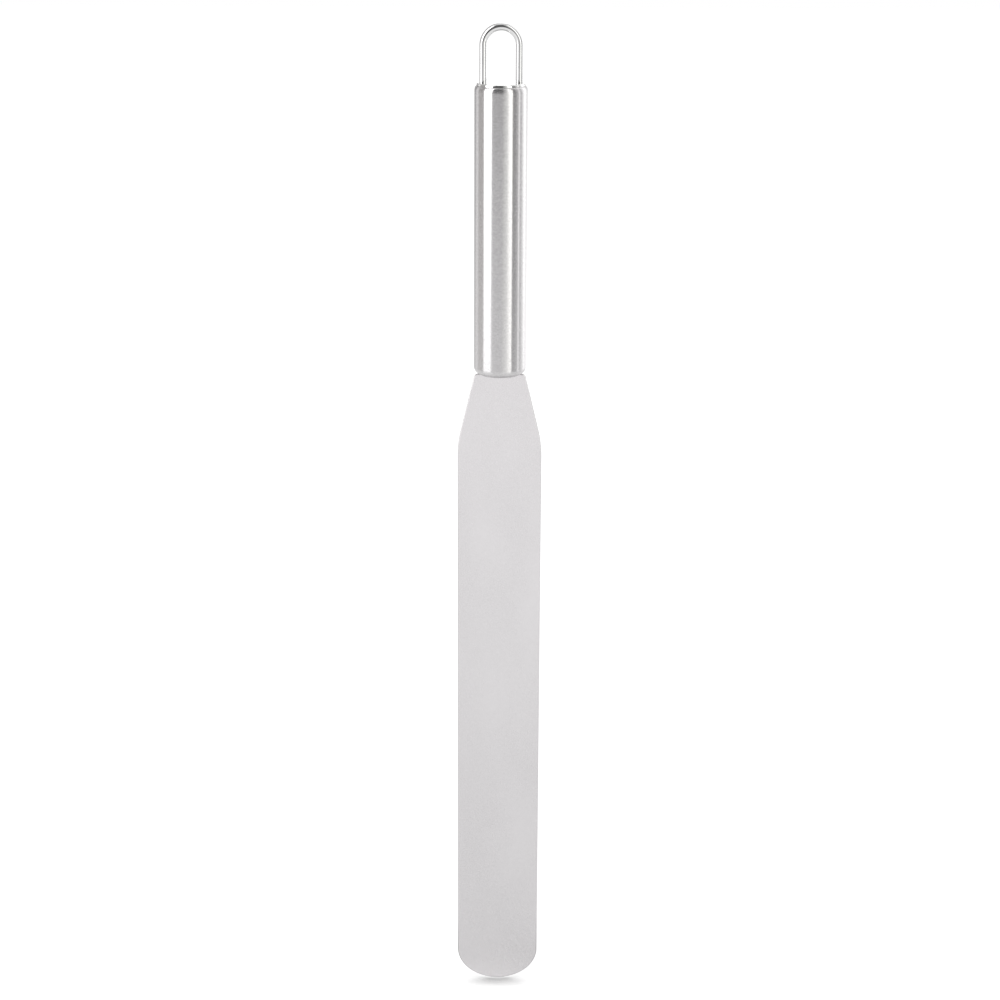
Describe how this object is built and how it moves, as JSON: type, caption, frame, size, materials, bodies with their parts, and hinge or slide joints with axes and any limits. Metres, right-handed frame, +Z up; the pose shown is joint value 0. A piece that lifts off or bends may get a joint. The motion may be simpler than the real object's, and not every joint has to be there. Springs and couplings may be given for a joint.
{
  "type": "cake spatula",
  "caption": "Long flat stainless steel blade with a rounded tip, set in a round hollow steel handle with a wire hanging loop.",
  "frame": {"origin": "the place where a hook bears: the lowest point of the wire's inner side at the loop's crown", "axes": "+Z up along the handle towards the loop, with the blade hanging down; X across the blade; Y through the blade's thickness, its broad faces looking along -Y and +Y"},
  "size_m": [0.0314, 0.0194, 0.3783],
  "materials": {
    "blade_steel": "fine satin stainless steel",
    "handle_steel": "stainless steel, brushed round the tube",
    "cap_steel": "polished stainless steel",
    "wire_steel": "mirror-polished stainless steel wire",
    "inner_steel": "as turned",
    "weld_steel": "as welded"
  },
  "bodies": {
    "root": {"blade": "blade_steel", "handle_tube": "handle_steel", "tang_plug": "inner_steel", "tang_weld_front": "weld_steel", "tang_weld_back": "weld_steel", "end_cap": "cap_steel", "hanging_loop": "wire_steel", "loop_weld_left": "weld_steel", "loop_weld_right": "weld_steel"}
  },
  "joints": []
}
